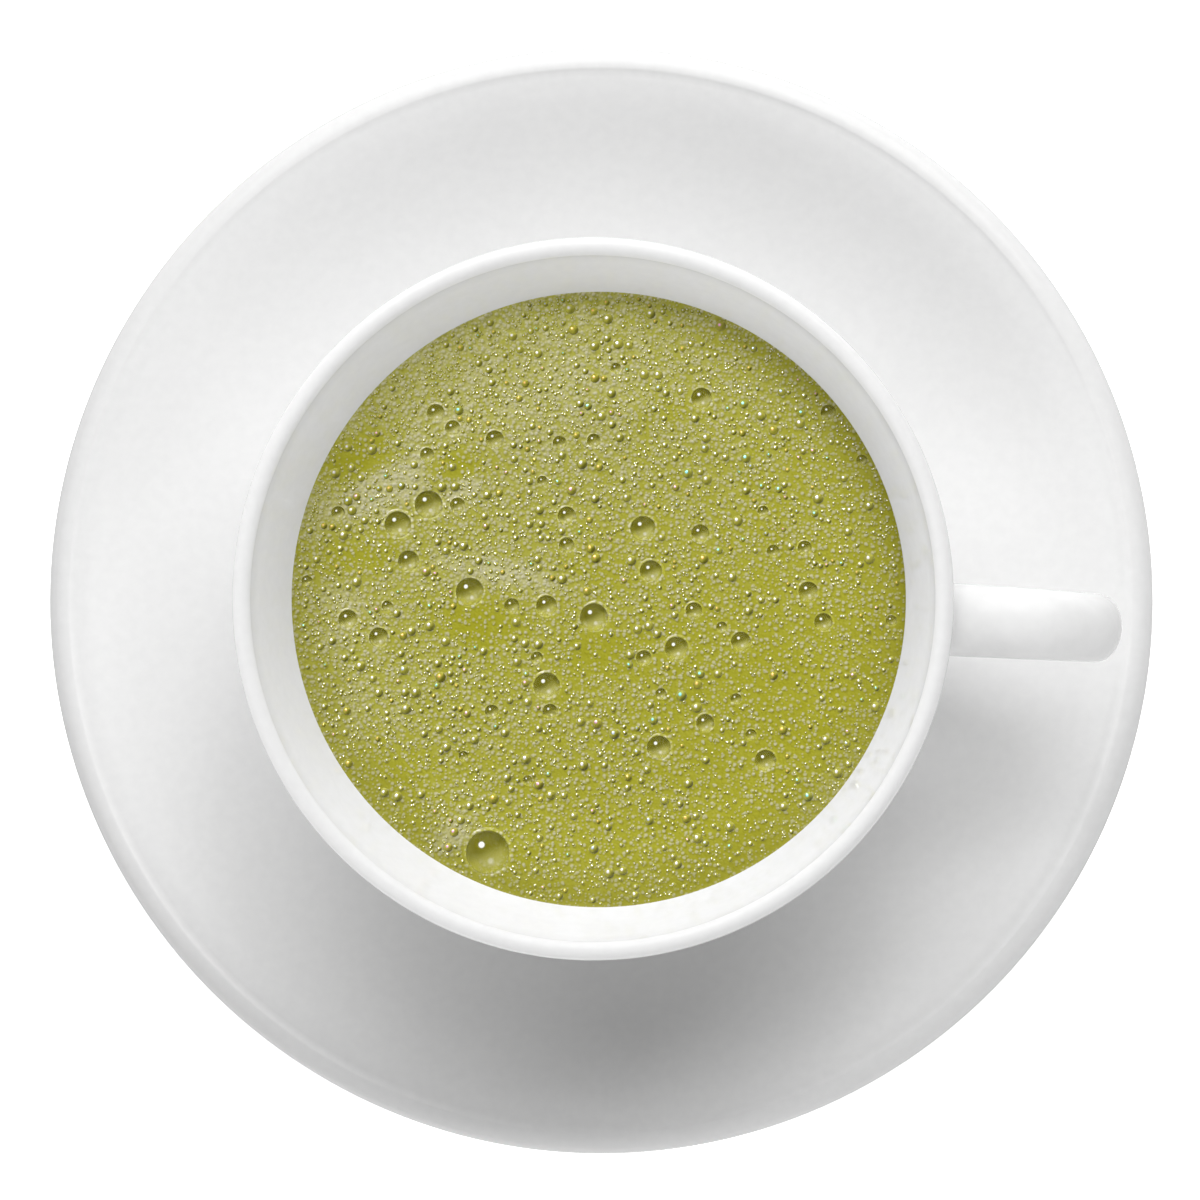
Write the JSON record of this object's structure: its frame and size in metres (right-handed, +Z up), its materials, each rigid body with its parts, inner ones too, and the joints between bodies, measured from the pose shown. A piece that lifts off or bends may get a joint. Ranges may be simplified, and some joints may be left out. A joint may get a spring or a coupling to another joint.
{
  "type": "matcha latte",
  "caption": "Frothy green matcha latte filling a white porcelain cup with a round ear handle, standing in the well of its wide saucer.",
  "frame": {"origin": "centre of the saucer's foot ring, on the table", "axes": "+Z up out of the cup, +X from the cup towards the outside of its handle, +Y completes a right-handed frame"},
  "size_m": [0.16, 0.16, 0.0688],
  "materials": {
    "porcelain": "gloss",
    "matcha": "satin"
  },
  "bodies": {
    "root": {"saucer": "porcelain", "cup": "porcelain", "matcha_latte": "matcha"}
  },
  "joints": []
}
